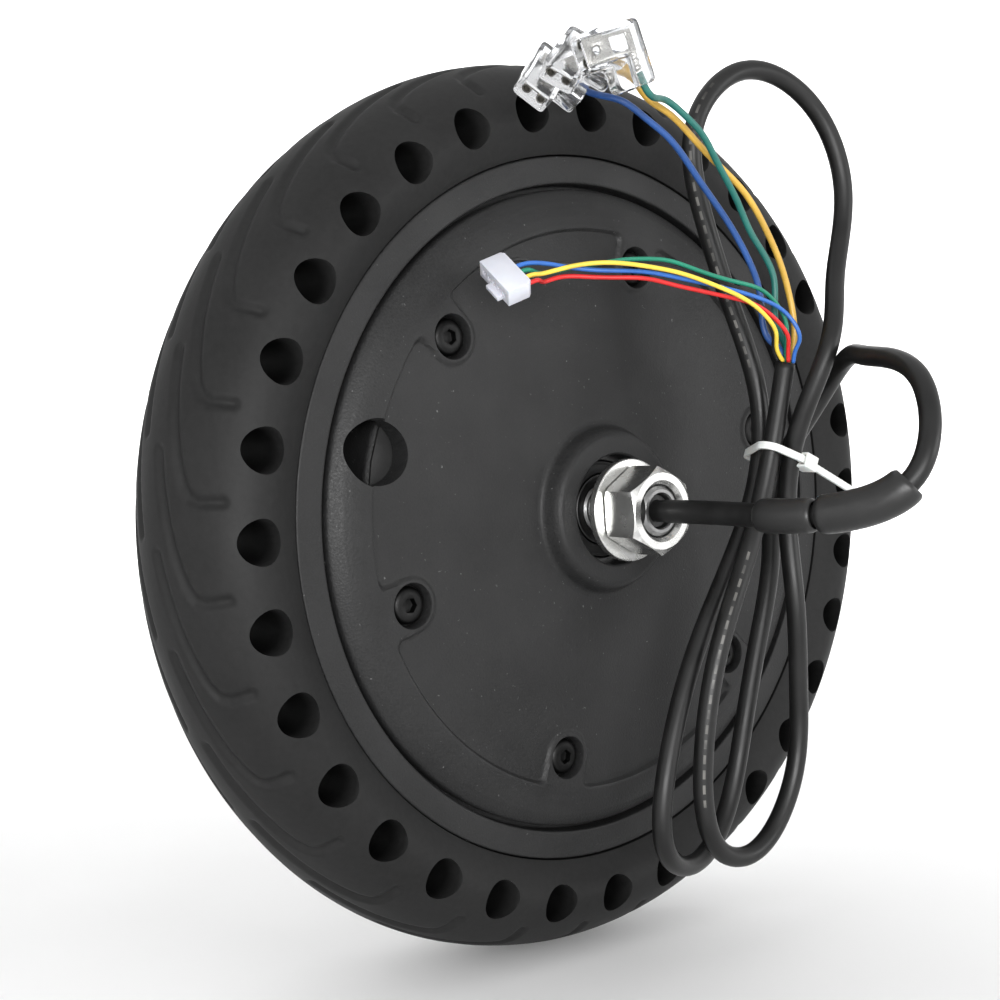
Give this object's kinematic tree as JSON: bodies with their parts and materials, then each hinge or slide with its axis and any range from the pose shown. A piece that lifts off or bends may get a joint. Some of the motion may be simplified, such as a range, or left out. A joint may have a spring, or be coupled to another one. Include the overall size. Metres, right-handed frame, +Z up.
{
  "type": "hub motor wheel",
  "caption": "Scooter hub motor wheel: solid tyre with through-holes, black hub with brushless motor inside, M12 axle with nuts, coiled cable and plugs.",
  "frame": {"origin": "centre of the wheel, on the axle's centre line at the tyre's middle plane", "axes": "+Y along the axle away from the cable side, +Z up, +X to the right seen from the cable side"},
  "size_m": [0.215, 0.1443, 0.215],
  "materials": {
    "tyre_rubber": "matt black solid rubber",
    "coated_alloy": "black textured powder coat",
    "black_rubber": "black rubber",
    "black_screws": "black oxide",
    "lamination_steel": "electrical steel",
    "magnets": "nickel plated magnets",
    "cast_alloy": "cast",
    "copper_windings": "enamelled copper",
    "circuit_board": "green solder mask",
    "axle_steel": "turned steel",
    "bearing_steel": "ground bearing steel",
    "zinc_plate": "bright zinc plate",
    "cable_jacket": "black cable jacket, satin",
    "heat_shrink": "black heat-shrink sleeve",
    "tie_nylon": "natural white nylon",
    "phase_blue": "blue insulation",
    "phase_green": "green insulation",
    "phase_yellow": "yellow insulation",
    "clear_nylon": "clear nylon",
    "tinned_terminal": "tinned brass",
    "signal_black": "black insulation",
    "signal_blue": "blue insulation",
    "signal_green": "green insulation",
    "signal_yellow": "yellow insulation",
    "signal_red": "red insulation",
    "white_nylon": "white nylon"
  },
  "bodies": {
    "axle_unit": {"cable_seal": "black_rubber", "stator_core": "lamination_steel", "stator_carrier": "cast_alloy", "windings": "copper_windings", "hall_board": "circuit_board", "axle": "axle_steel", "near_inner_race": "bearing_steel", "far_inner_race": "bearing_steel", "near_washer": "zinc_plate", "near_nut": "zinc_plate", "far_washer": "zinc_plate", "far_nut": "zinc_plate", "motor_cable": "cable_jacket", "inner_leads": "cable_jacket", "heat_shrink_1": "heat_shrink", "heat_shrink_2": "heat_shrink", "cable_tie": "tie_nylon", "phase_wire_blue": "phase_blue", "phase_plug_blue": "clear_nylon", "phase_terminal_blue": "tinned_terminal", "phase_wire_green": "phase_green", "phase_plug_green": "clear_nylon", "phase_terminal_green": "tinned_terminal", "phase_wire_yellow": "phase_yellow", "phase_plug_yellow": "clear_nylon", "phase_terminal_yellow": "tinned_terminal", "hall_wire_black": "signal_black", "hall_wire_blue": "signal_blue", "hall_wire_green": "signal_green", "hall_wire_yellow": "signal_yellow", "hall_wire_red": "signal_red", "hall_plug": "white_nylon"},
    "wheel": {"tyre": "tyre_rubber", "rim_shell": "coated_alloy", "side_cover": "coated_alloy", "cover_gasket": "black_rubber", "cover_screw_1": "black_screws", "cover_screw_2": "black_screws", "cover_screw_3": "black_screws", "cover_screw_4": "black_screws", "cover_screw_5": "black_screws", "cover_screw_6": "black_screws", "flux_ring": "lamination_steel", "magnet_ring": "magnets", "near_outer_race": "bearing_steel", "near_outer_seal": "black_rubber", "near_inner_seal": "black_rubber", "far_outer_race": "bearing_steel", "far_outer_seal": "black_rubber", "far_inner_seal": "black_rubber"},
    "near_balls": {"near_ball_cage": "bearing_steel"},
    "far_balls": {"far_ball_cage": "bearing_steel"}
  },
  "joints": [
    {"name": "wheel_spin", "type": "hinge", "parent": "axle_unit", "child": "wheel", "pos_m": [0, 0, 0], "axis": [0, 1, 0], "continuous": true},
    {"name": "near_balls_roll", "type": "hinge", "parent": "axle_unit", "child": "near_balls", "pos_m": [0, -0.0166, 0], "axis": [0, 1, 0], "continuous": true},
    {"name": "far_balls_roll", "type": "hinge", "parent": "axle_unit", "child": "far_balls", "pos_m": [0, 0.0166, 0], "axis": [0, 1, 0], "continuous": true}
  ],
  "couplings": [
    {"joint": "near_balls_roll", "follows": "wheel_spin", "ratio": 0.619},
    {"joint": "far_balls_roll", "follows": "wheel_spin", "ratio": 0.619}
  ]
}
